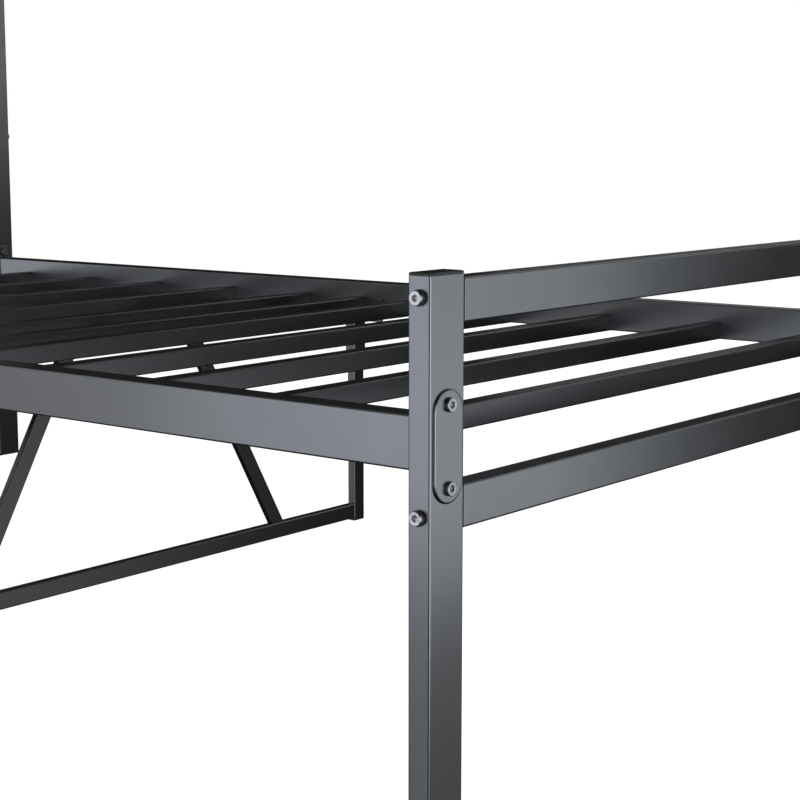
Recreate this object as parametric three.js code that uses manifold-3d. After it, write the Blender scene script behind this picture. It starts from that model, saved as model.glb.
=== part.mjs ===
// Knock-down metal bed frame: four rectangular tube posts, bolted foot and head rails,
// side rails with slats welded between them, and a middle support under the centre cross tube.
// Millimetres. +X runs across the bed, +Y towards the head end, +Z up. The origin is on the
// floor, at the centre of the bed's overall length and width.

import * as THREE from 'three';
import { mergeVertices } from 'three/addons/utils/BufferGeometryUtils.js';
import Module from 'manifold-3d';

const wasm = await Module();
wasm.setup();

// ---- driving dimensions -------------------------------------------------------------------

const BED_WIDTH = 1140; // over the outer faces of the posts
const BED_LENGTH = 1984; // over the foot and head faces of the posts
const GAP = 0.3; // between pieces that touch
const WELD_OVERLAP = 0.2; // how far pieces welded into one run into each other
const RUN_OUT = 2; // a drill's extra length past the wall it cuts

const POST = { across: 50, along: 25, wall: 1.5, corner: 2.2 };
const FOOT_POST_TOP = 533.5;
const HEAD_POST_TOP = 997;
const CAP = { thickness: 2.7, stem: 14, stemWall: 2 };
const GLIDE = { thickness: 4, stem: 16, stemWall: 2 };
const STEM_PLAY = 0.5; // between a plug's stem and the tube's bore
const SMALL_CORNER = 1;

const END_RAIL = { height: 40, along: 25, wall: 1.2, corner: 2.2 };
const FOOT_RAIL_HEIGHTS = { upper: 510.3, lower: 324.5 }; // centre lines
const HEAD_RAIL_HEIGHTS = { top: 973.5, middle: 649, lower: 324.5 };
const END_RAIL_BOLT_OFFSET = 4.3; // bolts sit this far off the rail's centre line
const END_NUT = { depth: 12 }; // block welded inside each rail end, to take the bolt

const SIDE_RAIL = { across: 30, height: 50, wall: 1.5, corner: 2.2, top: 409 };
const END_PLATE = { width: 42, height: 103, thickness: 2.5, z: 382.2, boltSpacing: 75 };
const WELD_NUT = { acrossFlats: 13, thickness: 6 };
const INSERT_NUT = { radius: 6, depth: 12 };
const DRAIN_HOLE = { radius: 3, fromEnd: 60 }; // in the underside of each side rail

const SLAT = { along: 25, height: 25, wall: 1, corner: 2, top: 384 };
const SLATS_PER_HALF = 5;
const SLAT_FIRST = 119; // from the centre cross tube to the first slat
const SLAT_PITCH = 186;
const SLAT_SHIFT = 8.5; // all slats sit this much nearer the head end than even spacing would put them

const LEG = { across: 26, along: 15, wall: 1.2, corner: 2, bottom: 4, top: 345 };
const SOCKET = { across: 30, along: 20, wall: 1.5, corner: 2.2, length: 88 };
const HANGER = { thickness: 3, length: 92, corner: 4, bottom: 342.5, top: 382 };
const FOOT_TUBE = { along: 15, height: 25, wall: 1.2, corner: 2, bottom: 5 };
const BRACE = { width: 25, along: 10, wall: 1.2, corner: 1.5 };
const BRACE_BOTTOM_X = 307; // brace centre line where it meets the foot tube
const BRACE_TOP_X = 119; // and where it meets the centre cross tube

const BOLT = { head: 6.75, headHeight: 3.2, edge: 0.8, shank: 4, socketFlats: 5, socketDepth: 2.2 };
const COLLAR = { radius: 7.4, height: 2.8 }; // plain spacer under each side bolt's head
const HOLE = BOLT.shank + 0.4;

const ROUND_SEGMENTS = 12;
const PLATE_SEGMENTS = 9; // in each round end of a plate
const CORNER_SEGMENTS = 2; // in each rounded corner of a tube

// ---- materials ----------------------------------------------------------------------------

const powderCoat = new THREE.MeshStandardMaterial({ color: 0x3a3c3f, roughness: 0.45, metalness: 0.55 });
const slatCoat = new THREE.MeshStandardMaterial({ color: 0x2b2c2e, roughness: 0.5, metalness: 0.5 });
const blackPlastic = new THREE.MeshStandardMaterial({ color: 0x111113, roughness: 0.5, metalness: 0 });
const zinc = new THREE.MeshStandardMaterial({ color: 0xb9bbbe, roughness: 0.35, metalness: 1 });

// ---- solids -------------------------------------------------------------------------------

// A closed three.js geometry as a solid that can be joined and cut.
function solid(geometry) {
  const bare = geometry.index ? geometry.toNonIndexed() : geometry.clone();
  bare.deleteAttribute('normal');
  bare.deleteAttribute('uv');
  const merged = mergeVertices(bare, 1e-4);
  return new wasm.Manifold(new wasm.Mesh({
    numProp: 3,
    vertProperties: new Float32Array(merged.attributes.position.array),
    triVerts: new Uint32Array(merged.index.array),
  }));
}

function geometryOf(shape) {
  const mesh = shape.getMesh();
  const geometry = new THREE.BufferGeometry();
  geometry.setAttribute('position', new THREE.BufferAttribute(new Float32Array(mesh.vertProperties), 3));
  geometry.setIndex(new THREE.BufferAttribute(new Uint32Array(mesh.triVerts), 1));
  geometry.computeVertexNormals();
  return geometry;
}

function roundedOutline(path, width, height, radius) {
  const x = width / 2 - radius;
  const y = height / 2 - radius;
  path.moveTo(-x, -y - radius);
  path.lineTo(x, -y - radius);
  path.absarc(x, -y, radius, -Math.PI / 2, 0, false);
  path.absarc(x, y, radius, 0, Math.PI / 2, false);
  path.absarc(-x, y, radius, Math.PI / 2, Math.PI, false);
  path.absarc(-x, -y, radius, Math.PI, Math.PI * 1.5, false);
  return path;
}

// Straight prism, centred on the origin, along local Z.
function prism(shape, length) {
  const geometry = new THREE.ExtrudeGeometry(shape, {
    depth: length, bevelEnabled: false, curveSegments: CORNER_SEGMENTS,
  });
  return geometry.translate(0, 0, -length / 2);
}

// Rectangular tube with rounded corners and a square-cornered bore, open at both ends, centred
// and along local Z.
function tube(width, height, length, { wall, corner }) {
  const shape = roundedOutline(new THREE.Shape(), width, height, corner);
  const x = width / 2 - wall;
  const y = height / 2 - wall;
  const bore = new THREE.Path().moveTo(-x, -y).lineTo(-x, y).lineTo(x, y).lineTo(x, -y);
  bore.closePath();
  shape.holes.push(bore);
  return prism(shape, length);
}

function block(width, height, length, corner = SMALL_CORNER) {
  return prism(roundedOutline(new THREE.Shape(), width, height, corner), length);
}

function rod(radius, length, segments = ROUND_SEGMENTS) {
  return new THREE.CylinderGeometry(radius, radius, length, segments).rotateX(Math.PI / 2);
}

// Turns a piece made along local Z so that it runs along X or Y.
const alongX = (geometry) => geometry.rotateY(Math.PI / 2);
const alongY = (geometry) => geometry.rotateX(Math.PI / 2);

// ---- small parts --------------------------------------------------------------------------

// Flat-head bolt along local Z. Its head's underside is at z = 0 and its shank runs down.
function bolt(shankLength, withCollar) {
  const { head, headHeight, edge, shank, socketFlats, socketDepth } = BOLT;
  const base = withCollar ? COLLAR.height : 0;
  const top = base + headHeight;
  const profile = [[0, -shankLength], [shank, -shankLength], [shank, 0]];
  if (withCollar) {
    profile.push([COLLAR.radius, 0], [COLLAR.radius, base]);
  }
  profile.push([head, base], [head, top - edge], [head - edge, top], [0, top]);
  const points = profile.map(([radius, z]) => new THREE.Vector2(radius, z));
  const body = solid(new THREE.LatheGeometry(points, ROUND_SEGMENTS).rotateX(Math.PI / 2));
  const socketRadius = socketFlats / Math.sqrt(3);
  const socket = rod(socketRadius, socketDepth * 2, 6).translate(0, 0, top);
  return geometryOf(body.subtract(solid(socket)));
}

// Plastic plug with a flat head and a hollow stem. The head's lower face is at z = 0.
function plug(width, height, corner, wall, { thickness, stem, stemWall }) {
  const head = solid(block(width, height, thickness, corner).translate(0, 0, thickness / 2));
  const stemWidth = width - 2 * (wall + STEM_PLAY);
  const stemHeight = height - 2 * (wall + STEM_PLAY);
  const skirt = tube(stemWidth, stemHeight, stem, { wall: stemWall, corner: SMALL_CORNER });
  const overlap = thickness / 2;
  return geometryOf(head.add(solid(skirt.translate(0, 0, overlap - stem / 2))));
}

// Plate with fully round ends, in the XZ plane, with two bolt holes, as a solid.
function ovalPlate() {
  const { width, height, thickness, boltSpacing } = END_PLATE;
  const radius = width / 2;
  const straight = height / 2 - radius;
  const shape = new THREE.Shape();
  shape.absarc(0, straight, radius, 0, Math.PI, false);
  shape.absarc(0, -straight, radius, Math.PI, 2 * Math.PI, false);
  const geometry = new THREE.ExtrudeGeometry(shape, {
    depth: thickness, bevelEnabled: false, curveSegments: PLATE_SEGMENTS,
  });
  let plate = solid(alongY(geometry.translate(0, 0, -thickness / 2)));
  for (const side of [-1, 1]) {
    const hole = alongY(rod(HOLE, thickness * 2)).translate(0, 0, side * boltSpacing / 2);
    plate = plate.subtract(solid(hole));
  }
  return plate;
}

// ---- posts --------------------------------------------------------------------------------

// Post of this length, upright, with its side bolts' holes at boltHeights above the floor.
// end: -1 for the foot, 1 for the head.
function post(length, end, boltHeights) {
  const { across, along } = POST;
  let body = solid(tube(across, along, length, POST).translate(0, 0, length / 2 + GLIDE.thickness + GAP));
  for (const z of boltHeights) {
    body = body.subtract(solid(alongX(rod(HOLE, across + RUN_OUT)).translate(0, 0, z)));
  }
  for (const side of [-1, 1]) {
    const z = END_PLATE.z + side * END_PLATE.boltSpacing / 2;
    if (end < 0) {
      body = body.subtract(solid(alongY(rod(HOLE, along + RUN_OUT)).translate(0, 0, z)));
    } else {
      // threaded insert pressed into the wall that faces the foot end
      const middle = -along / 2 + INSERT_NUT.depth / 2;
      body = body.add(solid(alongY(rod(INSERT_NUT.radius, INSERT_NUT.depth)).translate(0, middle, z)));
      const bore = INSERT_NUT.depth + 2 * RUN_OUT;
      body = body.subtract(solid(alongY(rod(HOLE, bore)).translate(0, middle, z)));
    }
  }
  return geometryOf(body);
}

// ---- foot and head rails ------------------------------------------------------------------

// Cross rail between two posts. Each end holds a welded nut block, boltOffset above its centre.
function endRail(boltOffset) {
  const { height, along, wall } = END_RAIL;
  const length = BED_WIDTH - 2 * POST.across - 2 * GAP;
  let body = solid(alongX(tube(height, along, length, END_RAIL)));
  for (const side of [-1, 1]) {
    const middle = side * (length / 2 - END_NUT.depth / 2);
    const nut = alongX(block(height - wall, along - wall, END_NUT.depth)).translate(middle, 0, 0);
    body = body.add(solid(nut));
    const bore = alongX(rod(HOLE, END_NUT.depth + 2 * RUN_OUT)).translate(middle, 0, boltOffset);
    body = body.subtract(solid(bore));
  }
  return geometryOf(body);
}

// ---- side rail ----------------------------------------------------------------------------

// One side rail with its welded end plates, weld nuts at the foot end and drain holes.
function sideRail() {
  const { across, height, top } = SIDE_RAIL;
  const plateY = BED_LENGTH / 2 - POST.along - GAP - END_PLATE.thickness / 2;
  const length = 2 * plateY;
  const z = top - height / 2;
  let body = solid(alongY(tube(across, height, length, SIDE_RAIL)).translate(0, 0, z));
  for (const end of [-1, 1]) {
    body = body.add(ovalPlate().translate([0, end * plateY, END_PLATE.z]));
  }
  const nutRadius = WELD_NUT.acrossFlats / Math.sqrt(3);
  const nutY = -plateY + (END_PLATE.thickness + WELD_NUT.thickness) / 2 - WELD_OVERLAP;
  const boreLength = 2 * (END_PLATE.thickness + WELD_NUT.thickness);
  for (const side of [-1, 1]) {
    const nutZ = END_PLATE.z + side * END_PLATE.boltSpacing / 2;
    const nut = solid(alongY(rod(nutRadius, WELD_NUT.thickness, 6)).translate(0, nutY, nutZ));
    const bore = solid(alongY(rod(HOLE, boreLength)).translate(0, nutY, nutZ));
    body = body.add(nut).subtract(bore);
  }
  for (const end of [-1, 1]) {
    const y = end * (length / 2 - DRAIN_HOLE.fromEnd);
    const drill = rod(DRAIN_HOLE.radius, 2 * (SIDE_RAIL.wall + RUN_OUT)).translate(0, y, top - height);
    body = body.subtract(solid(drill));
  }
  return geometryOf(body);
}

// ---- middle support -----------------------------------------------------------------------

const railInnerX = BED_WIDTH / 2 - POST.across / 2 - SIDE_RAIL.across / 2;
const hangerX = railInnerX - GAP - HANGER.thickness / 2;
const socketX = hangerX - HANGER.thickness / 2 - SOCKET.across / 2;
const crossTubeBottom = SLAT.top - SLAT.height;

// Hanger plate against the side rail's inner face, with the leg's socket tube welded to its inner
// side. side: -1 for the left rail, 1 for the right.
function legSocket(side) {
  const { thickness, length, corner, bottom, top } = HANGER;
  const plate = alongX(block(top - bottom, length, thickness, corner)).translate(0, 0, (top + bottom) / 2);
  const socketTop = crossTubeBottom - GAP;
  const tubeMiddle = side * (socketX - hangerX);
  const socket = tube(SOCKET.across, SOCKET.along, SOCKET.length, SOCKET);
  socket.translate(tubeMiddle + side * WELD_OVERLAP, 0, socketTop - SOCKET.length / 2);
  return geometryOf(solid(plate).add(solid(socket)));
}

// Brace from the foot tube up to the centre cross tube, its ends cut level. side: which half.
function brace(side) {
  const bottom = FOOT_TUBE.bottom + FOOT_TUBE.height + GAP;
  const top = crossTubeBottom - GAP;
  const run = BRACE_TOP_X - BRACE_BOTTOM_X;
  const lean = Math.atan2(run, top - bottom);
  const long = Math.hypot(run, top - bottom) + 2 * BRACE.width;
  const bar = tube(BRACE.width, BRACE.along, long, BRACE).rotateY(lean);
  const middleX = (BRACE_TOP_X + BRACE_BOTTOM_X) / 2;
  bar.translate(middleX, 0, (top + bottom) / 2);
  const span = 4 * BRACE.width + Math.abs(run);
  const keep = block(span, 4 * BRACE.along, top - bottom).translate(middleX, 0, (top + bottom) / 2);
  const cut = solid(bar).intersect(solid(keep));
  return geometryOf(side > 0 ? cut : cut.mirror([1, 0, 0]));
}

// ---- assembly -----------------------------------------------------------------------------

// The corner bolts stand out past the foot posts only, so the posts sit this far towards the head
// for the overall length to be centred.
const footOverhang = GAP + END_PLATE.thickness + GAP + BOLT.headHeight;
const bed = new THREE.Group();
bed.position.y = footOverhang / 2;

function place(parent, name, geometry, material, position = [0, 0, 0], rotation = [0, 0, 0]) {
  const mesh = new THREE.Mesh(geometry, material);
  mesh.name = name;
  mesh.position.set(...position);
  mesh.rotation.set(...rotation);
  parent.add(mesh);
  return mesh;
}

const SIDES = [['left', -1], ['right', 1]];
const postX = BED_WIDTH / 2 - POST.across / 2;
const postY = BED_LENGTH / 2 - POST.along / 2;
const sideBoltReach = POST.across + END_NUT.depth;
const headOut = { left: [0, -Math.PI / 2, 0], right: [0, Math.PI / 2, 0] };
const headToFoot = [Math.PI / 2, 0, 0];

// One end of the bed: two posts with caps and glides, the cross rails and their bolts.
function buildEnd(name, end, tubeTop, railHeights) {
  const group = new THREE.Group();
  group.position.set(0, end * postY, 0);
  const bottom = GLIDE.thickness + GAP;
  const rails = Object.entries(railHeights).map(([level, z]) => {
    const upward = level === 'lower' ? -1 : 1;
    return { level, z, offset: upward * END_RAIL_BOLT_OFFSET };
  });
  const boltHeights = rails.map(({ z, offset }) => z + offset);
  for (const [sideName, side] of SIDES) {
    const x = side * postX;
    place(group, `${name}_post_${sideName}`, post(tubeTop - bottom, end, boltHeights), powderCoat, [x, 0, 0]);
    const cap = plug(POST.across, POST.along, POST.corner, POST.wall, CAP);
    place(group, `${name}_cap_${sideName}`, cap, blackPlastic, [x, 0, tubeTop + GAP]);
    const glide = plug(POST.across, POST.along, POST.corner, POST.wall, GLIDE);
    const flipped = [Math.PI, 0, 0];
    place(group, `${name}_glide_${sideName}`, glide, blackPlastic, [x, 0, GLIDE.thickness], flipped);
    for (const { level, z, offset } of rails) {
      const seat = side * (BED_WIDTH / 2 + GAP);
      place(group, `${name}_${level}_bolt_${sideName}`, bolt(sideBoltReach, true), zinc,
        [seat, 0, z + offset], headOut[sideName]);
    }
  }
  for (const { level, z, offset } of rails) {
    place(group, `${name}_rail_${level}`, endRail(offset), powderCoat, [0, 0, z]);
  }
  bed.add(group);
  return group;
}

const footEnd = buildEnd('foot', -1, FOOT_POST_TOP, FOOT_RAIL_HEIGHTS);
const headEnd = buildEnd('head', 1, HEAD_POST_TOP, HEAD_RAIL_HEIGHTS);

// Corner joints: two bolts through each side rail's end plate. At the foot end they pass through
// an outer plate and the whole post; at the head end they thread into the post from inside.
const outerPlateY = -(POST.along / 2 + GAP + END_PLATE.thickness / 2);
const footJointReach = END_PLATE.thickness * 2 + POST.along + GAP * 2 + WELD_NUT.thickness + 1;
const headJointReach = END_PLATE.thickness + GAP * 2 + INSERT_NUT.depth;
for (const [sideName, side] of SIDES) {
  const x = side * postX;
  place(footEnd, `outer_plate_${sideName}`, geometryOf(ovalPlate()), powderCoat,
    [x, outerPlateY, END_PLATE.z]);
  for (const [row, up] of [['upper', 1], ['lower', -1]]) {
    const z = END_PLATE.z + up * END_PLATE.boltSpacing / 2;
    const footSeat = outerPlateY - END_PLATE.thickness / 2 - GAP;
    place(footEnd, `foot_joint_bolt_${row}_${sideName}`, bolt(footJointReach, false), zinc,
      [x, footSeat, z], headToFoot);
    const headSeat = -(POST.along / 2 + GAP + END_PLATE.thickness + GAP);
    place(headEnd, `head_joint_bolt_${row}_${sideName}`, bolt(headJointReach, false), zinc,
      [x, headSeat, z], headToFoot);
  }
}

// Deck: side rails, slats and the centre cross tube.
const slatOffsets = [];
for (let index = 0; index < SLATS_PER_HALF; index += 1) {
  slatOffsets.push(SLAT_FIRST + index * SLAT_PITCH);
}
const slatPositions = [...slatOffsets.map((y) => -y).reverse(), ...slatOffsets];
const deck = new THREE.Group();
bed.add(deck);
for (const [sideName, side] of SIDES) {
  place(deck, `side_rail_${sideName}`, sideRail(), powderCoat, [side * postX, 0, 0]);
}
const slatLength = 2 * (railInnerX - GAP);
const slatZ = SLAT.top - SLAT.height / 2;
slatPositions.forEach((y, index) => {
  const slat = alongX(tube(SLAT.height, SLAT.along, slatLength, SLAT));
  const number = String(index + 1).padStart(2, '0');
  place(deck, `slat_${number}`, slat, slatCoat, [0, y + SLAT_SHIFT, slatZ]);
});
const crossLength = 2 * (hangerX - HANGER.thickness / 2 - GAP);
const crossTube = alongX(tube(SLAT.height, SLAT.along, crossLength, SLAT));
place(deck, 'centre_cross_tube', crossTube, slatCoat, [0, 0, slatZ]);

// Middle support: sockets, legs, foot tube, braces and feet.
const support = new THREE.Group();
bed.add(support);
for (const [sideName, side] of SIDES) {
  place(support, `leg_socket_${sideName}`, legSocket(side), powderCoat, [side * hangerX, 0, 0]);
  const leg = tube(LEG.across, LEG.along, LEG.top - LEG.bottom - GAP, LEG);
  place(support, `centre_leg_${sideName}`, leg, powderCoat,
    [side * socketX, 0, (LEG.top + LEG.bottom + GAP) / 2]);
  const foot = plug(LEG.across, LEG.along, LEG.corner, LEG.wall, GLIDE);
  place(support, `centre_leg_foot_${sideName}`, foot, blackPlastic,
    [side * socketX, 0, LEG.bottom], [Math.PI, 0, 0]);
  place(support, `centre_brace_${sideName}`, brace(side), powderCoat);
}
const footTubeLength = 2 * (socketX - LEG.across / 2 - GAP);
const footTube = alongX(tube(FOOT_TUBE.height, FOOT_TUBE.along, footTubeLength, FOOT_TUBE));
place(support, 'centre_foot_tube', footTube, powderCoat, [0, 0, FOOT_TUBE.bottom + FOOT_TUBE.height / 2]);

export default bed;
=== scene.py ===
"""Finished surfaces, finishes, light and camera for a bolted metal bed frame.

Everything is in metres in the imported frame: +X across the bed, +Y towards the head end, +Z up,
with the origin on the floor. Each sub-assembly takes its places from the frame's own nodes.
"""

import logging
import math
from collections.abc import Iterable
from dataclasses import dataclass, field
from enum import Enum

import bpy
import numpy as np
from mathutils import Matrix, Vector


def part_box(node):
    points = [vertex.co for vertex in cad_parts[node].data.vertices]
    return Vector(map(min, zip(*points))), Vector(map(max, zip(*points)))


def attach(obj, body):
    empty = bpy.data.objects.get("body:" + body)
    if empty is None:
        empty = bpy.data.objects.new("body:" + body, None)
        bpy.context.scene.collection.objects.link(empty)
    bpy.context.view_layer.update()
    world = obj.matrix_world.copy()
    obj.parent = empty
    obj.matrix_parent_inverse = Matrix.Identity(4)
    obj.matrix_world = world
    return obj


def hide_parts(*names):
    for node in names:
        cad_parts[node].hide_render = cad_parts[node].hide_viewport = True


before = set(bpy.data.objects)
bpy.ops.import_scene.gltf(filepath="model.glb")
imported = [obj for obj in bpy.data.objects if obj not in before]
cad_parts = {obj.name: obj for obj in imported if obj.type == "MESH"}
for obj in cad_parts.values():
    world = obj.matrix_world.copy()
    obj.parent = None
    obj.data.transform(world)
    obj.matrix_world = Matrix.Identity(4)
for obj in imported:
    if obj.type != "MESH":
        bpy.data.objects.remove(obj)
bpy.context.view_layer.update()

LOG = logging.getLogger("bed")
MM = 0.001
BODY = "root"
SIDES = (("left", -1), ("right", 1))

CORNER_STEPS = 4  # chords of a tube's corner
LOBE_STEPS = 16  # chords of an oval plate's corner
ROUND_STEPS = 48  # points round a turned piece
EDGE_STEPS = 4  # chords of a softened edge
SHARP_ANGLE = math.radians(38)  # a fold sharper than this is an edge
LEAST_RADIUS = 0.15 * MM  # a corner never shrinks below this radius
SUPPORT = 0.35 * MM  # a straight side stays flat beyond this distance from its corners
SUPPORT_SHARE = 0.25  # and beyond this share of its length, where that is nearer
BUTT = 0.26 * MM  # draws out a tube's end until it all but touches the face it is fixed to
PLAY = 0.05 * MM  # left between two pieces that touch, so that they share no face
CLEARANCE = 0.1 * MM  # between a shank and the bore round it


# ---- directions ---------------------------------------------------------------------------


class Facing(Enum):
    """The way a piece's own third axis points, with the directions of all three of its axes."""

    RIGHT = ((0, 1, 0), (0, 0, 1), (1, 0, 0))
    LEFT = ((0, -1, 0), (0, 0, 1), (-1, 0, 0))
    HEAD = ((-1, 0, 0), (0, 0, 1), (0, 1, 0))
    FOOT = ((1, 0, 0), (0, 0, 1), (0, -1, 0))
    UP = ((1, 0, 0), (0, 1, 0), (0, 0, 1))
    DOWN = ((1, 0, 0), (0, -1, 0), (0, 0, -1))

    def place(self, points: np.ndarray, at: Iterable[float]) -> np.ndarray:
        """Carries points from a piece's own axes to the frame.

        Args:
            points: Own coordinates, the last axis holding three numbers.
            at: Where the piece's own origin goes.

        Returns:
            The same points in the frame.
        """
        return points @ np.array(self.value, float) + np.array(list(at), float)


# ---- surfaces -----------------------------------------------------------------------------


@dataclass
class Surface:
    """A closed skin of quads, with flat caps where a row of rings ends."""

    vertices: np.ndarray
    quads: np.ndarray
    caps: list[list[int]] = field(default_factory=list)

    def faces(self) -> list[list[int]]:
        """Every face as a list of vertex numbers."""
        return self.quads.tolist() + self.caps

    def placed(self, facing: Facing, at: Iterable[float]) -> "Surface":
        """The skin carried to its place in the frame."""
        return Surface(facing.place(self.vertices, at), self.quads, self.caps)

    def mesh(self, name: str) -> bpy.types.Mesh:
        """The skin as a Blender mesh, smooth but for its sharp folds."""
        mesh = bpy.data.meshes.new(name)
        mesh.from_pydata(self.vertices.tolist(), [], self.faces())
        mesh.shade_smooth()
        mesh.set_sharp_from_angle(angle=SHARP_ANGLE)
        return mesh


def joined(parts: Iterable[Surface]) -> Surface:
    """Several skins as one, each keeping its own vertices."""
    vertices, quads, caps, start = [], [], [], 0
    for part in parts:
        vertices.append(part.vertices)
        quads.append(part.quads + start)
        caps += [[index + start for index in cap] for cap in part.caps]
        start += len(part.vertices)
    return Surface(np.concatenate(vertices), np.concatenate(quads), caps)


def loft(rings: np.ndarray, looped: bool = False) -> Surface:
    """Skins a row of rings of equal length.

    Point j of ring i joins points j and j + 1 of ring i + 1 as a quad. Rings run anticlockwise
    about the third axis, so a row that climbs on the outside faces outwards.

    Args:
        rings: Array of (rings, points, 3).
        looped: Whether the last ring joins the first. Otherwise flat caps close both ends.

    Returns:
        The closed skin.
    """
    count, around = rings.shape[:2]
    index = np.arange(count * around).reshape(count, around)
    lower = index if looped else index[:-1]
    upper = np.roll(index, -1, axis=0) if looped else index[1:]
    corners = [lower, np.roll(lower, -1, axis=1), np.roll(upper, -1, axis=1), upper]
    quads = np.stack(corners, axis=-1).reshape(-1, 4)
    caps = [] if looped else [index[0][::-1].tolist(), index[-1].tolist()]
    return Surface(rings.reshape(-1, 3), quads, caps)


@dataclass(frozen=True)
class Outline:
    """A rectangle with rounded corners. Corners of half its width make it an oval or a circle."""

    width: float
    height: float
    corner: float
    steps: int = CORNER_STEPS

    def ring(self, inset: np.ndarray | float = 0.0, flats: int = 0) -> np.ndarray:
        """The outline moved inwards by each inset.

        A corner is a quarter circle about a point one radius in from both sides. An inset takes
        the same amount off both half sides and off the radius. One more point before and after
        each corner, on the straight side, keeps the side's shading flat.

        Args:
            inset: One distance for each ring wanted.
            flats: Extra points spread evenly along each straight side.

        Returns:
            Array of (insets, points, 2), anticlockwise.
        """
        inset = np.atleast_1d(np.asarray(inset, float))[:, None, None]
        radius = np.maximum(self.corner - inset, LEAST_RADIUS)
        quarter = np.arange(4)[:, None]
        angle = quarter * math.pi / 2 + np.linspace(0, math.pi / 2, self.steps + 1)
        right = np.array([1, -1, -1, 1])[:, None]
        upper = np.array([1, 1, -1, -1])[:, None]
        u = right * (self.width / 2 - inset - radius) + radius * np.cos(angle)
        v = upper * (self.height / 2 - inset - radius) + radius * np.sin(angle)
        points = np.stack([u, v], axis=-1)
        following = np.roll(points[:, :, :1], -1, axis=1)
        side = following - points[:, :, -1:]
        near = np.minimum(SUPPORT / np.linalg.norm(side, axis=-1, keepdims=True), SUPPORT_SHARE)
        shares = [near, *np.linspace(0, 1, flats + 2)[1:-1], 1 - near]
        straight = [points[:, :, -1:] + side * share for share in shares]
        points = np.concatenate([points, *straight], axis=2)
        return points.reshape(len(points), -1, 2)

    def stack(self, inset: np.ndarray, height: np.ndarray) -> np.ndarray:
        """Rings of the outline, each moved inwards and lifted along the third axis.

        Args:
            inset: How far each ring is moved in.
            height: How far each ring is lifted.

        Returns:
            Array of (rings, points, 3).
        """
        flat = self.ring(inset)
        lift = np.broadcast_to(np.asarray(height, float)[:, None, None], (*flat.shape[:2], 1))
        return np.concatenate([flat, lift], axis=-1)


def round_edge(radius: float, top: float) -> tuple[np.ndarray, np.ndarray]:
    """A quarter-round edge that ends on a level face.

    The inset is the radius times one less the cosine of the turn, and the height falls short of
    the top by the radius times one less its sine.

    Args:
        radius: Radius of the edge.
        top: Height of the level face.

    Returns:
        Insets and heights, from the side to the face.
    """
    turn = np.linspace(0, math.pi / 2, EDGE_STEPS + 1)
    return radius * (1 - np.cos(turn)), top - radius * (1 - np.sin(turn))


@dataclass(frozen=True)
class Tube:
    """Rolled rectangular tube with open ends and a small chamfer on every end edge."""

    width: float
    height: float
    wall: float
    corner: float
    chamfer: float = 0.12 * MM

    @property
    def outline(self) -> Outline:
        """The tube's outer outline."""
        return Outline(self.width, self.height, self.corner)

    def skin(self, start: float, end: float) -> Surface:
        """The wall's outside, both end faces and the bore, from start to end along the axis."""
        cut, wall = self.chamfer, self.wall
        inset = np.array([0, 0, cut, wall - cut, wall, wall, wall - cut, cut])
        height = np.array([start + cut, end - cut, end, end, end - cut, start + cut, start, start])
        return loft(self.outline.stack(inset, height), looped=True)


@dataclass(frozen=True)
class Plug:
    """Moulded plug for a tube's end: a head with soft edges over a hollow stem."""

    outline: Outline
    head: float
    stem: float
    tube_wall: float
    play: float = 0.5 * MM
    stem_wall: float = 2 * MM
    edge: float = 2 * MM
    chamfer: float = 0.25 * MM
    band: float = 1 * MM

    def skin(self) -> Surface:
        """The plug, with its head's lower face at height 0 and its stem below."""
        outside = self.tube_wall + self.play
        inside = outside + self.stem_wall
        edge_inset, edge_height = round_edge(self.edge, self.head)
        stem_inset = [inside, inside, outside, outside]
        stem_height = [0, -self.stem, -self.stem, 0]
        inset = [*stem_inset, self.chamfer, 0, *edge_inset, self.edge + self.band]
        height = [*stem_height, 0, self.chamfer, *edge_height, self.head]
        return loft(self.outline.stack(np.array(inset), np.array(height)))


@dataclass(frozen=True)
class Plate:
    """Flat plate with a softened front edge and a small chamfer at its back.

    A ring on each face, one band inside the edge, keeps the face's shading flat.
    """

    outline: Outline
    thickness: float
    edge: float = 1.2 * MM
    break_back: float = 0.2 * MM
    band: float = 1.5 * MM

    def skin(self) -> Surface:
        """The plate, from height 0 at its back to its thickness at its face."""
        edge_inset, edge_height = round_edge(self.edge, self.thickness)
        band, break_back = self.band, self.break_back
        inset = [band, break_back, 0, *edge_inset, self.edge + band]
        height = [0, 0, break_back, *edge_height, self.thickness]
        return loft(self.outline.stack(np.array(inset), np.array(height)))


def turned(radius: list[float | np.ndarray], height: list[float], looped: bool = False) -> Surface:
    """A piece made by carrying rings up an axis.

    Point j of a ring lies at the ring's radius there, at the angle j of a full turn.

    Args:
        radius: A number for a round ring, or one radius for each point round it.
        height: Height of each ring.
        looped: Whether the last ring joins the first.

    Returns:
        The closed skin.
    """
    angle = np.arange(ROUND_STEPS) * 2 * math.pi / ROUND_STEPS
    reach = np.stack([np.broadcast_to(np.asarray(r, float), ROUND_STEPS) for r in radius])
    lift = np.broadcast_to(np.array(height, float)[:, None], reach.shape)
    rings = np.stack([reach * np.cos(angle), reach * np.sin(angle), lift], axis=-1)
    return loft(rings, looped)


def hexagon(flats: float) -> np.ndarray:
    """Radius at each point round a hexagon.

    It is half the distance across the flats, over the cosine of the angle from the nearest flat.
    """
    angle = np.arange(ROUND_STEPS) * 2 * math.pi / ROUND_STEPS
    sixth = math.pi / 3
    return flats / 2 / np.cos((angle + sixth / 2) % sixth - sixth / 2)


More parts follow.
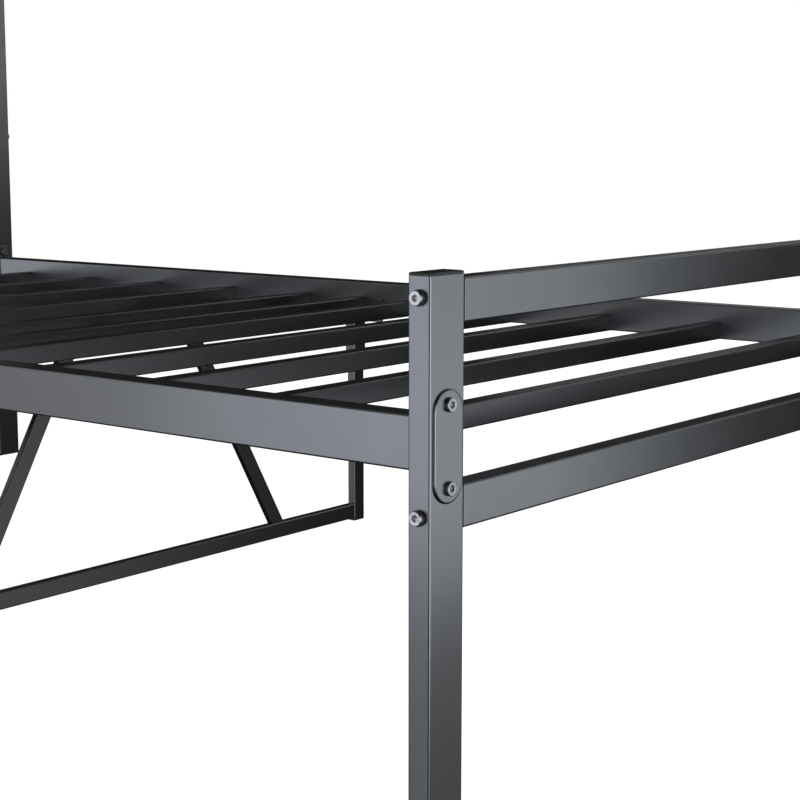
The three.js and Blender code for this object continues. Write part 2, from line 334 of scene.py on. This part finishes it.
@dataclass(frozen=True)
class Bolt:
    """Flat-head bolt with a hexagon socket."""

    head: float = 6.75 * MM
    head_height: float = 3.2 * MM
    edge: float = 0.8 * MM
    shank: float = 4 * MM
    socket_flats: float = 5.2 * MM
    socket_depth: float = 3 * MM
    drill_point: float = 0.3  # the socket floor's inner ring, as a share of the socket
    chamfer: float = 0.25 * MM

    def skin(self, length: float, seat: float) -> Surface:
        """The bolt, with its shank's end at minus the length and its head seated at seat."""
        top = seat + self.head_height
        edge_inset, edge_height = round_edge(self.edge, top)
        socket = hexagon(self.socket_flats)
        floor = top - self.socket_depth
        cut = self.chamfer
        shank = [self.shank - cut, self.shank, self.shank]
        shank_height = [-length, cut - length, seat]
        head = [self.head - cut, self.head, *(self.head - edge_inset)]
        head_height = [seat, seat + cut, *edge_height]
        recess = [socket + 2 * cut, socket, socket, socket * self.drill_point]
        recess_height = [top, top - cut, floor, floor - 2 * cut]
        radius = [*shank, *head, *recess]
        height = [*shank_height, *head_height, *recess_height]
        return turned(radius, height)


@dataclass(frozen=True)
class Sleeve:
    """Round or hexagonal collar with a plain bore and chamfered edges."""

    outside: float | np.ndarray
    bore: float
    chamfer: float = 0.4 * MM

    def skin(self, start: float, end: float) -> Surface:
        """The collar from start to end along its axis."""
        cut = self.chamfer
        brim = np.minimum(self.outside - cut / 2, np.min(self.outside))
        mouth = self.bore + cut
        radius = [self.outside, self.outside, brim, mouth, self.bore, self.bore, mouth, brim]
        height = [start + cut, end - cut, end, end, end - cut, start + cut, start, start]
        return turned(radius, height, looped=True)


@dataclass(frozen=True)
class Weld:
    """Fillet weld round a tube's end, where it meets a flat wall."""

    outline: Outline
    size: float = 2.6 * MM
    ripple: float = 0.12
    pitch: float = 3 * MM
    flats: int = 24

    def skin(self) -> Surface:
        """The bead round the outline, against a wall at height 0.

        Its section is a quarter circle from the wall to the tube. The radius swells and shrinks
        by the ripple's share as a cosine of the distance round the outline.
        """
        base = self.outline.ring(flats=self.flats)[0]
        outwards = self.outline.ring(-MM, flats=self.flats)[0] - base
        outwards /= np.linalg.norm(outwards, axis=1, keepdims=True)
        steps = np.linalg.norm(np.roll(base, -1, axis=0) - base, axis=1)
        along = np.concatenate([[0], np.cumsum(steps)[:-1]]) / steps.sum()
        waves = round(steps.sum() / self.pitch)
        size = self.size * (1 + self.ripple * np.cos(2 * math.pi * waves * along))
        turn = np.linspace(0, math.pi / 2, EDGE_STEPS + 1)
        # Two more points close the section, a tenth of the size inside the tube's outline.
        reach = np.append(np.cos(turn), [-0.1, -0.1])[:, None] * size
        lift = np.append(np.sin(turn), [0.9, 0.02])[:, None] * size
        flat = base + outwards * reach[..., None]
        return loft(np.concatenate([flat, lift[..., None]], axis=-1), looped=True)


@dataclass(frozen=True)
class Seam:
    """Flat weld bead across a flush joint, with blunt ends and the ripples of its passes."""

    length: float
    width: float = 5 * MM
    height: float = 0.7 * MM
    ripple: float = 0.08
    pitch: float = 2.2 * MM
    bluntness: int = 8
    least: float = 0.02
    halves: int = 32
    around: int = 12

    def skin(self) -> Surface:
        """The bead along the third axis, sunk to its middle in the joined faces.

        Its section is an ellipse. The ellipse shrinks at the ends by the square root of one less
        the place to the power of the bluntness, and swells by the ripple as a cosine of the place.
        """
        place = np.linspace(-1, 1, 2 * self.halves + 1)
        waves = self.length / 2 / self.pitch
        swell = 1 + self.ripple * np.cos(2 * math.pi * waves * place)
        size = (np.sqrt(np.maximum(1 - place**self.bluntness, self.least)) * swell)[:, None]
        angle = np.arange(self.around) * 2 * math.pi / self.around
        lift = np.broadcast_to(place[:, None] * self.length / 2, (len(place), len(angle)))
        flat = [size * self.width / 2 * np.cos(angle), size * self.height * np.sin(angle)]
        return loft(np.stack([*flat, lift], axis=-1))


# ---- finishes -----------------------------------------------------------------------------


class Signal:
    """A node's output that takes part in Python arithmetic. Each operation adds a Math node."""

    def __init__(self, shader: "Shader", socket: bpy.types.NodeSocket) -> None:
        """Wraps the socket of a node in that shader."""
        self.shader = shader
        self.socket = socket

    def _math(self, operation: str, first: object, second: object) -> "Signal":
        """A Math node's result on two values."""
        return self.shader.node("ShaderNodeMath", {"operation": operation}, {0: first, 1: second})

    def __add__(self, other: object) -> "Signal":
        """The sum."""
        return self._math("ADD", self, other)

    def __sub__(self, other: object) -> "Signal":
        """The difference."""
        return self._math("SUBTRACT", self, other)

    def __rsub__(self, other: object) -> "Signal":
        """The difference, from a value on the left."""
        return self._math("SUBTRACT", other, self)

    def __mul__(self, other: object) -> "Signal":
        """The product."""
        return self._math("MULTIPLY", self, other)

    __radd__ = __add__
    __rmul__ = __mul__


class Shader:
    """A node tree, with one method that makes any node."""

    def __init__(self, tree: bpy.types.NodeTree) -> None:
        """Empties the tree."""
        self.tree = tree
        tree.nodes.clear()

    def node(self, kind: str, settings: dict, inputs: dict, output: str | int = 0) -> Signal:
        """Makes a node.

        Args:
            kind: Blender's type name.
            settings: Properties, set first.
            inputs: Socket names or numbers, with values or signals.
            output: The output that is wanted.

        Returns:
            That output.
        """
        made = self.tree.nodes.new(kind)
        for name, value in settings.items():
            setattr(made, name, value)
        for name, value in inputs.items():
            if isinstance(value, Signal):
                self.tree.links.new(value.socket, made.inputs[name])
            else:
                made.inputs[name].default_value = value
        return Signal(self, made.outputs[output] if len(made.outputs) else None)

    def grain(self, scale: float, detail: float = 2.0, stretch: tuple = (1, 1, 1)) -> Signal:
        """Noise in the piece's own coordinates, from 0 to 1.

        Args:
            scale: Cells to the metre.
            detail: Layers of finer noise.
            stretch: How much each axis is drawn together.

        Returns:
            The noise's value.
        """
        place = self.node("ShaderNodeTexCoord", {}, {}, "Object")
        drawn = self.node("ShaderNodeMapping", {}, {"Vector": place, "Scale": stretch})
        inputs = {"Vector": drawn, "Scale": scale, "Detail": detail}
        return self.node("ShaderNodeTexNoise", {}, inputs, "Fac")

    def tint(self, share: Signal, dark: tuple, light: tuple) -> Signal:
        """A colour between two, by share."""
        settings = {"data_type": "RGBA"}
        inputs = {"Factor": share, 6: (*dark, 1), 7: (*light, 1)}
        return self.node("ShaderNodeMix", settings, inputs, 2)

    def relief(self, height: Signal, depth: float) -> Signal:
        """A normal tilted by a height pattern of that depth."""
        inputs = {"Strength": 1.0, "Distance": depth, "Height": height}
        return self.node("ShaderNodeBump", {}, inputs)

    def finish(self, inputs: dict) -> None:
        """Ends the tree in a principled surface with those inputs."""
        surface = self.node("ShaderNodeBsdfPrincipled", {}, inputs)
        self.node("ShaderNodeOutputMaterial", {}, {"Surface": surface})


@dataclass(frozen=True)
class Coat:
    """Satin coating on steel: a faint orange peel, and cloudy changes of tone and gloss."""

    name: str
    slot: str
    dark: tuple[float, float, float]
    light: tuple[float, float, float]
    roughness: float
    roughness_range: float = 0.05
    metallic: float = 1.0
    cloud_scale: float = 9.0
    speck_scale: float = 2200.0
    speck_share: float = 0.3
    gloss_scale: float = 38.0
    peel_scale: float = 650.0
    peel_depth: float = 0.012 * MM

    def material(self) -> bpy.types.Material:
        """The coating as a material."""
        made = bpy.data.materials.new(self.name)
        made.use_nodes = True
        shader = Shader(made.node_tree)
        cloud = shader.grain(self.cloud_scale, 3.0)
        speck = shader.grain(self.speck_scale, 1.0)
        share = cloud * (1 - self.speck_share) + speck * self.speck_share
        wander = shader.grain(self.gloss_scale, 4.0) - 0.5
        peel = shader.relief(shader.grain(self.peel_scale), self.peel_depth)
        shader.finish(
            {
                "Base Color": shader.tint(share, self.dark, self.light),
                "Metallic": self.metallic,
                "Roughness": self.roughness + wander * self.roughness_range,
                "Normal": peel,
            }
        )
        return made


@dataclass(frozen=True)
class Moulding:
    """Matt moulded plastic with a fine spark-eroded grain."""

    name: str
    slot: str
    dark: tuple[float, float, float]
    light: tuple[float, float, float]
    roughness: float
    roughness_range: float = 0.1
    refraction: float = 1.46
    tone_scale: float = 120.0
    gloss_scale: float = 60.0
    grain_scale: float = 2600.0
    grain_depth: float = 0.02 * MM

    def material(self) -> bpy.types.Material:
        """The plastic as a material."""
        made = bpy.data.materials.new(self.name)
        made.use_nodes = True
        shader = Shader(made.node_tree)
        tone = shader.grain(self.tone_scale, 3.0)
        wander = shader.grain(self.gloss_scale, 3.0) - 0.5
        relief = shader.relief(shader.grain(self.grain_scale, 1.0), self.grain_depth)
        shader.finish(
            {
                "Base Color": shader.tint(tone, self.dark, self.light),
                "Roughness": self.roughness + wander * self.roughness_range,
                "Normal": relief,
                "IOR": self.refraction,
            }
        )
        return made


class Finish(Enum):
    """The finishes on this bed. The slat and weld coats are darker copies of the powder coat, as
    painted shade.
    """

    POWDER = Coat(
        "satin_powder_coat",
        "powder_coat",
        dark=(0.17, 0.178, 0.186),
        light=(0.205, 0.213, 0.222),
        roughness=0.29,
    )
    # Darker copy of the powder coat: painted shade that stands in for the shade among the slats.
    SHADED_SLAT = Coat(
        "slat_coat_painted_shade",
        "slat_coat",
        dark=(0.13, 0.135, 0.142),
        light=(0.16, 0.166, 0.174),
        roughness=0.30,
    )
    # Darker copy of the powder coat: painted shade for the soft shadow where slats and rails meet.
    # Its higher roughness is the weld's own.
    SHADED_WELD = Coat(
        "weld_coat_painted_shade",
        "powder_coat",
        dark=(0.13, 0.135, 0.142),
        light=(0.17, 0.178, 0.186),
        roughness=0.36,
    )
    PLASTIC = Moulding(
        "black_moulding",
        "black_plastic",
        dark=(0.014, 0.014, 0.015),
        light=(0.022, 0.022, 0.024),
        roughness=0.42,
    )
    ZINC = Coat(
        "zinc_plating",
        "zinc_bolt",
        dark=(0.40, 0.405, 0.42),
        light=(0.50, 0.505, 0.52),
        roughness=0.30,
        roughness_range=0.1,
        peel_scale=1800.0,
    )
    DULL_ZINC = Coat(
        "dull_zinc",
        "zinc_bolt",
        dark=(0.31, 0.315, 0.325),
        light=(0.39, 0.395, 0.405),
        roughness=0.34,
        roughness_range=0.1,
        peel_scale=1800.0,
    )


# ---- workbench ----------------------------------------------------------------------------


class Workbench:
    """Makes finished pieces, fastens them to the frame and keeps one material for each finish."""

    def __init__(self) -> None:
        """Starts with no piece made."""
        self.materials: dict[Finish, bpy.types.Material] = {}
        self.count = 0

    def fit(self, name: str, skin: Surface, finish: Finish, *nodes: str) -> bpy.types.Object:
        """Makes a piece and puts it on the frame.

        Args:
            name: The piece's name.
            skin: Its surface, in the frame.
            finish: Its finish.
            nodes: The frame's nodes that it stands for.

        Returns:
            The new object.
        """
        if finish not in self.materials:
            self.materials[finish] = finish.value.material()
        mesh = skin.mesh(name)
        mesh.materials.append(self.materials[finish])
        piece = bpy.data.objects.new(name, mesh)
        bpy.context.scene.collection.objects.link(piece)
        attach(piece, BODY)
        if nodes:
            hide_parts(*nodes)
        self.count += 1
        LOG.info("%s: %d faces, %s", name, len(mesh.polygons), finish.name.lower())
        return piece


def span(node: str) -> tuple[np.ndarray, np.ndarray, np.ndarray]:
    """Lowest corner, highest corner and middle of a node."""
    low, high = (np.array(corner, float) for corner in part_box(node))
    return low, high, (low + high) / 2


def tube_in(
    node: str, facing: Facing, wall: float, corner: float, reach: float = 0.0
) -> tuple[Tube, Surface]:
    """A tube that fills a node's box.

    Args:
        node: The node.
        facing: The way the tube runs: RIGHT, HEAD or UP.
        wall: Wall thickness.
        corner: Outer corner radius.
        reach: How far each end is drawn out, to close the gap to a neighbour.

    Returns:
        The stock, and its surface in the frame.
    """
    low, high, middle = span(node)
    size = np.abs(np.array(facing.value, float) @ (high - low))
    stock = Tube(size[0], size[1], wall, corner)
    half = size[2] / 2 + reach
    return stock, stock.skin(-half, half).placed(facing, middle)


# ---- end frames ---------------------------------------------------------------------------


@dataclass
class EndFrame:
    """The foot or head end: two posts with caps and glides, cross rails and their side bolts."""

    name: str
    rails: tuple[str, ...]
    post_wall: float = 1.5 * MM
    post_corner: float = 2.2 * MM
    rail_wall: float = 1.2 * MM
    rail_corner: float = 2.2 * MM
    cap_head: float = 2.7 * MM
    glide_head: float = 4 * MM
    stem: float = 12 * MM
    bolt: Bolt = Bolt()
    collar_radius: float = 7.4 * MM
    collar_height: float = 2.8 * MM

    def build(self, bench: Workbench) -> None:
        """Makes every piece of this end."""
        for level in self.rails:
            node = f"{self.name}_rail_{level}"
            _, skin = tube_in(node, Facing.RIGHT, self.rail_wall, self.rail_corner, BUTT)
            bench.fit(f"{node}_tube", skin, Finish.POWDER, node)
        for side, _ in SIDES:
            self.post(bench, side)
            for level in self.rails:
                self.side_bolt(bench, f"{self.name}_{level}_bolt_{side}", side)

    def post(self, bench: Workbench, side: str) -> None:
        """Makes one post with its cap and glide."""
        node = f"{self.name}_post_{side}"
        stock, skin = tube_in(node, Facing.UP, self.post_wall, self.post_corner)
        bench.fit(f"{node}_tube", skin, Finish.POWDER, node)
        cap = Plug(stock.outline, self.cap_head, self.stem, self.post_wall)
        name = f"{self.name}_cap_{side}"
        _, high, middle = span(name)
        at = (middle[0], middle[1], high[2] - cap.head)
        bench.fit(f"{name}_moulding", cap.skin().placed(Facing.UP, at), Finish.PLASTIC, name)
        glide = Plug(stock.outline, self.glide_head, self.stem, self.post_wall)
        name = f"{self.name}_glide_{side}"
        low, _, middle = span(name)
        at = (middle[0], middle[1], low[2] + glide.head)
        bench.fit(f"{name}_moulding", glide.skin().placed(Facing.DOWN, at), Finish.PLASTIC, name)

    def side_bolt(self, bench: Workbench, node: str, side: str) -> None:
        """Makes one side bolt and the black collar under its head."""
        low, high, middle = span(node)
        facing = Facing.LEFT if side == "left" else Facing.RIGHT
        outermost = low[0] if side == "left" else high[0]
        proud = self.collar_height + self.bolt.head_height
        at = (outermost - facing.value[2][0] * proud, middle[1], middle[2])
        skin = self.bolt.skin(high[0] - low[0] - proud, self.collar_height).placed(facing, at)
        bench.fit(f"{node}_screw", skin, Finish.ZINC, node)
        collar = Sleeve(self.collar_radius, self.bolt.shank + CLEARANCE)
        skin = collar.skin(0, self.collar_height - PLAY).placed(facing, at)
        bench.fit(f"{node}_collar", skin, Finish.PLASTIC)


# ---- deck ---------------------------------------------------------------------------------


@dataclass
class Deck:
    """Side rails with end plates, slats, the centre cross tube and the corner joints."""

    rail: Tube = Tube(30 * MM, 50 * MM, 1.5 * MM, 2.2 * MM)
    rail_top: float = 24.7 * MM  # below the top of its end plates
    plate: Plate = Plate(Outline(42 * MM, 103 * MM, 20.8 * MM, LOBE_STEPS), 2.5 * MM, 2 * MM)
    bolt: Bolt = Bolt()
    bolt_spacing: float = 75 * MM
    slat_wall: float = 1 * MM
    slat_corner: float = 2 * MM
    slats: int = 10
    seam_share: float = 0.7  # of a slat's width
    nut_flats: float = 13 * MM
    nut_thickness: float = 6 * MM
    nut_lift: float = 0.02 * MM

    def build(self, bench: Workbench) -> None:
        """Makes every piece of the deck and its joints."""
        for side, _ in SIDES:
            self.side_rail(bench, side)
            self.outer_plate(bench, side)
            for end in ("foot", "head"):
                for row in ("upper", "lower"):
                    self.joint_bolt(bench, f"{end}_joint_bolt_{row}_{side}")
        names = [f"slat_{number:02d}" for number in range(1, self.slats + 1)]
        for node in [*names, "centre_cross_tube"]:
            self.slat(bench, node)

    def side_rail(self, bench: Workbench, side: str) -> None:
        """Makes one side rail, its two end plates, their welds and the foot end's weld nuts."""
        node = f"side_rail_{side}"
        low, high, middle = span(node)
        thickness = self.plate.thickness
        x, y, plate_z = middle
        z = high[2] - self.rail_top - self.rail.height / 2
        half = (high[1] - low[1]) / 2 - thickness - PLAY
        body = self.rail.skin(-half, half).placed(Facing.HEAD, (x, y, z))
        bench.fit(f"{node}_tube", body, Finish.POWDER, node)
        weld = Weld(self.rail.outline).skin()
        # Each plate's softened face looks along the rail, away from the post.
        for end, outer, inwards in (("foot", low[1], Facing.HEAD), ("head", high[1], Facing.FOOT)):
            inner = outer + inwards.value[2][1] * thickness
            skin = self.plate.skin().placed(inwards, (x, outer, plate_z))
            bench.fit(f"{node}_{end}_plate", skin, Finish.POWDER)
            # The weld's darker coat is painted shade.
            bench.fit(f"{node}_{end}_weld", weld.placed(inwards, (x, inner, z)), Finish.SHADED_WELD)
        nut = Sleeve(hexagon(self.nut_flats), self.bolt.shank + CLEARANCE)
        nut = nut.skin(self.nut_lift, self.nut_thickness)
        for row, up in (("upper", 1), ("lower", -1)):
            at = (x, low[1] + thickness, plate_z + up * self.bolt_spacing / 2)
            bench.fit(f"{node}_weld_nut_{row}", nut.placed(Facing.HEAD, at), Finish.POWDER)

    def outer_plate(self, bench: Workbench, side: str) -> None:
        """Makes the oval plate on a foot post's front."""
        node = f"outer_plate_{side}"
        _, high, middle = span(node)
        skin = self.plate.skin().placed(Facing.FOOT, (middle[0], high[1] + BUTT, middle[2]))
        bench.fit(f"{node}_face", skin, Finish.POWDER, node)

    def joint_bolt(self, bench: Workbench, node: str) -> None:
        """Makes one bolt of a corner joint. Its head faces the foot end."""
        low, high, middle = span(node)
        seat = low[1] + self.bolt.head_height
        at = (middle[0], seat, middle[2])
        skin = self.bolt.skin(high[1] - seat, 0).placed(Facing.FOOT, at)
        bench.fit(f"{node}_screw", skin, Finish.DULL_ZINC, node)

    def slat(self, bench: Workbench, node: str) -> None:
        """Makes one slat and the welds under its ends, where it is flush with the side rails."""
        low, high, middle = span(node)
        stock, skin = tube_in(node, Facing.RIGHT, self.slat_wall, self.slat_corner, BUTT)
        # The slats' darker coat is painted shade.
        bench.fit(f"{node}_tube", skin, Finish.SHADED_SLAT, node)
        seam = Seam(stock.width * self.seam_share).skin()
        beads = [seam.placed(Facing.HEAD, (x, middle[1], low[2])) for x in (low[0], high[0])]
        # The welds' darker coat is painted shade.
        bench.fit(f"{node}_welds", joined(beads), Finish.SHADED_WELD)


# ---- middle support -----------------------------------------------------------------------


@dataclass
class MiddleSupport:
    """The legs under the centre cross tube, with sockets, feet, foot tube and braces."""

    wall: float = 1.2 * MM
    corner: float = 2 * MM
    foot_head: float = 4 * MM
    foot_stem: float = 12 * MM
    socket: Tube = Tube(30 * MM, 20 * MM, 1.5 * MM, 2.2 * MM)
    socket_length: float = 88 * MM
    hanger_thickness: float = 3 * MM
    hanger_height: float = 39.5 * MM
    hanger_corner: float = 4 * MM
    hanger_edge: float = 0.5 * MM
    brace_width: float = 25 * MM
    brace_depth: float = 10 * MM
    brace_corner: float = 1.5 * MM
    lean_rounds: int = 20

    def build(self, bench: Workbench) -> None:
        """Makes every piece of the middle support."""
        _, skin = tube_in("centre_foot_tube", Facing.RIGHT, self.wall, self.corner)
        bench.fit("centre_foot_tube_bar", skin, Finish.POWDER, "centre_foot_tube")
        for side, sign in SIDES:
            self.leg(bench, side)
            self.leg_socket(bench, side, sign)
            self.brace(bench, side, sign)

    def leg(self, bench: Workbench, side: str) -> None:
        """Makes one leg and the foot under it."""
        node = f"centre_leg_{side}"
        stock, skin = tube_in(node, Facing.UP, self.wall, self.corner)
        bench.fit(f"{node}_tube", skin, Finish.POWDER, node)
        node = f"centre_leg_foot_{side}"
        low, _, middle = span(node)
        plug = Plug(stock.outline, self.foot_head, self.foot_stem, self.wall)
        at = (middle[0], middle[1], low[2] + plug.head)
        bench.fit(f"{node}_moulding", plug.skin().placed(Facing.DOWN, at), Finish.PLASTIC, node)

    def leg_socket(self, bench: Workbench, side: str, sign: int) -> None:
        """Makes one hanger plate with the socket tube welded to it."""
        node = f"leg_socket_{side}"
        low, high, middle = span(node)
        outer = high[0] if sign > 0 else low[0]
        inwards = Facing.LEFT if sign > 0 else Facing.RIGHT
        outline = Outline(high[1] - low[1], self.hanger_height, self.hanger_corner)
        plate = Plate(outline, self.hanger_thickness, self.hanger_edge)
        at = (outer, middle[1], high[2] - self.hanger_height / 2)
        bench.fit(f"{node}_hanger", plate.skin().placed(inwards, at), Finish.POWDER, node)
        x = outer - sign * (self.hanger_thickness + self.socket.width / 2)
        tube = self.socket.skin(low[2], low[2] + self.socket_length)
        bench.fit(f"{node}_tube", tube.placed(Facing.UP, (x, middle[1], 0)), Finish.POWDER)

    def brace(self, bench: Workbench, side: str, sign: int) -> None:
        """Makes one leaning brace, its ends cut level.

        A level cut through a leaning bar is its section drawn out along X by one over the
        cosine of the lean, so each ring is that outline, shifted in proportion to its height.
        """
        node = f"centre_brace_{side}"
        low, high, middle = span(node)
        rise = high[2] - low[2]
        reach = high[0] - low[0]
        lean = 0.0
        # The lean settles where the bar's run and its level width together make up the reach.
        for _ in range(self.lean_rounds):
            lean = math.atan2(reach - self.brace_width / math.cos(lean), rise)
        level_width = self.brace_width / math.cos(lean)
        stock = Tube(level_width, self.brace_depth, self.wall, self.brace_corner)
        skin = stock.skin(-rise / 2, rise / 2)
        skin.vertices[:, 0] -= sign * math.tan(lean) * skin.vertices[:, 2]
        bench.fit(f"{node}_tube", skin.placed(Facing.UP, middle), Finish.POWDER, node)


# ---- studio -------------------------------------------------------------------------------


WHITE = (1.0, 1.0, 1.0)
BLUE_WHITE = (0.95, 0.97, 1.06)
COOL_WHITE = (0.96, 0.98, 1.05)
FRONT_WHITE = (0.96, 0.99, 1.04)
PALE_WHITE = (0.97, 0.99, 1.04)


@dataclass(frozen=True)
class Panel:
    """A soft light panel that faces a point."""

    side: str
    place: tuple[float, float, float]
    target: tuple[float, float, float]
    size: tuple[float, float]
    radiance: float
    colour: tuple[float, float, float] = WHITE

    def build(self) -> None:
        """Makes the area light. Its power is its radiance times its area times four."""
        name = f"{self.side}_panel"
        light = bpy.data.lights.new(name, "AREA")
        light.shape = "RECTANGLE"
        light.size, light.size_y = self.size
        light.color = self.colour
        light.energy = self.radiance * self.size[0] * self.size[1] * 4
        lamp = bpy.data.objects.new(name, light)
        lamp.location = self.place
        aim = Vector(self.target) - Vector(self.place)
        lamp.rotation_mode = "QUATERNION"
        lamp.rotation_quaternion = aim.to_track_quat("-Z", "Y")
        lamp.visible_camera = False
        bpy.context.scene.collection.objects.link(lamp)


@dataclass
class Studio:
    """Pale floor, soft light panels and the camera."""

    camera_from_corner: tuple[float, float] = (-1.19605, -0.91961)
    camera_height: float = 0.65206
    yaw: float = math.radians(38.55)
    pitch: float = math.radians(-8.5)
    lens: float = 79.22
    sensor: float = 36.0
    floor_size: float = 60.0
    floor_tone: float = 0.9
    faint_fill: float = 0.02
    panels: tuple[Panel, ...] = (
        Panel("near_left", (-1.15, -0.52, 0.5), (0, -0.52, 0.5), (0.9, 0.8), 0.68, BLUE_WHITE),
        Panel("left", (-2.4, 0.25, -0.1), (0, 0.25, -0.1), (0.9, 2.4), 0.6, COOL_WHITE),
        Panel("left_rear", (-2.4, 1.8, 0.1), (0, 1.8, 0.1), (1.5, 1.8), 0.6),
        Panel("high_rear", (-2.6, 2.9, 2.5), (0, 0, 0.2), (1.6, 1.2), 0.8),
        Panel("far_rear", (-2.4, 4.4, 0), (0, 4.4, 0), (1.7, 2.2), 1.5, PALE_WHITE),
        Panel("near_front", (0.1, -1.6, 0.46), (0.1, 0, 0.46), (1.25, 0.92), 0.84, FRONT_WHITE),
        Panel("low_front", (1.8, -3, -0.8), (1.8, 0, -0.8), (2, 1.6), 0.28),
        Panel("high_front", (3.8, -3, 1.2), (3.8, 0, 1.2), (1.2, 1), 1.3),
        Panel("key", (-1.7, -3, 0.3), (-1.7, 0, 0.3), (2.3, 1.6), 2.3),
        Panel("right_top", (4, -0.8, 3.4), (0, 0, 0.4), (1.6, 1.6), 1.2),
        Panel("top", (0, 0, 3.2), (0, 0, 0), (2.4, 3.2), 0.3),
        Panel("right", (4, 1, 0.2), (0, 1, 0.2), (2.4, 1.6), 0.4),
        Panel("right_rear", (3.2, 3.8, -1.2), (0, 0, 0.3), (3, 2), 0.5),
        Panel("below_front", (-3, -3.6, -1.4), (0, -0.5, 0.3), (3, 1.6), 0.4),
    )

    def build(self) -> None:
        """Makes the floor, the lights, the surroundings and the camera."""
        for panel in self.panels:
            panel.build()
        self.surroundings()
        self.floor()
        self.camera()
        bpy.context.scene.view_settings.view_transform = "Standard"

    def surroundings(self) -> None:
        """A white backdrop that gives the bed only a faint fill."""
        world = bpy.data.worlds.new("studio")
        bpy.context.scene.world = world
        world.use_nodes = True
        shader = Shader(world.node_tree)
        seen = shader.node("ShaderNodeLightPath", {}, {}, "Is Camera Ray")
        strength = seen * (1 - self.faint_fill) + self.faint_fill
        inputs = {"Color": (*WHITE, 1), "Strength": strength}
        light = shader.node("ShaderNodeBackground", {}, inputs)
        shader.node("ShaderNodeOutputWorld", {}, {"Surface": light})

    def floor(self) -> None:
        """A pale floor whose glow alone clips to white, so shadows on it don't show, and which
        stays out of the coating's gloss.
        """
        half = self.floor_size / 2
        mesh = bpy.data.meshes.new("floor")
        corners = [(-half, -half, 0), (half, -half, 0), (half, half, 0), (-half, half, 0)]
        mesh.from_pydata(corners, [], [[0, 1, 2, 3]])
        made = bpy.data.materials.new("pale_floor")
        made.use_nodes = True
        shader = Shader(made.node_tree)
        glow = shader.node("ShaderNodeEmission", {}, {"Color": (*WHITE, 1), "Strength": 1.0})
        tone = self.floor_tone
        matt = shader.node("ShaderNodeBsdfDiffuse", {}, {"Color": (tone, tone, tone, 1)})
        both = shader.node("ShaderNodeAddShader", {}, {0: glow, 1: matt})
        shader.node("ShaderNodeOutputMaterial", {}, {"Surface": both})
        mesh.materials.append(made)
        floor = bpy.data.objects.new("floor", mesh)
        floor.visible_glossy = False
        floor.visible_shadow = False
        bpy.context.scene.collection.objects.link(floor)

    def camera(self) -> None:
        """A camera low beyond the near foot corner, looking along the bed."""
        corner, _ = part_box("foot_post_left")
        camera = bpy.data.cameras.new("camera")
        camera.lens = self.lens
        camera.sensor_width = self.sensor
        made = bpy.data.objects.new("camera", camera)
        x, y = self.camera_from_corner
        made.location = (corner.x + x, corner.y + y, self.camera_height)
        flat = math.cos(self.pitch)
        ahead = Vector((flat * math.cos(self.yaw), flat * math.sin(self.yaw), math.sin(self.pitch)))
        made.rotation_mode = "QUATERNION"
        made.rotation_quaternion = ahead.to_track_quat("-Z", "Y")
        bpy.context.scene.collection.objects.link(made)
        bpy.context.scene.camera = made


# ---- build --------------------------------------------------------------------------------


def main() -> None:
    """Builds the bed's sub-assemblies in order, then the studio round them."""
    logging.basicConfig(level=logging.INFO, format="%(message)s")
    bench = Workbench()
    EndFrame("foot", ("upper", "lower")).build(bench)
    EndFrame("head", ("top", "middle", "lower")).build(bench)
    Deck().build(bench)
    MiddleSupport().build(bench)
    LOG.info("%d finished pieces", bench.count)
    Studio().build()


if __name__ == "__main__":
    main()
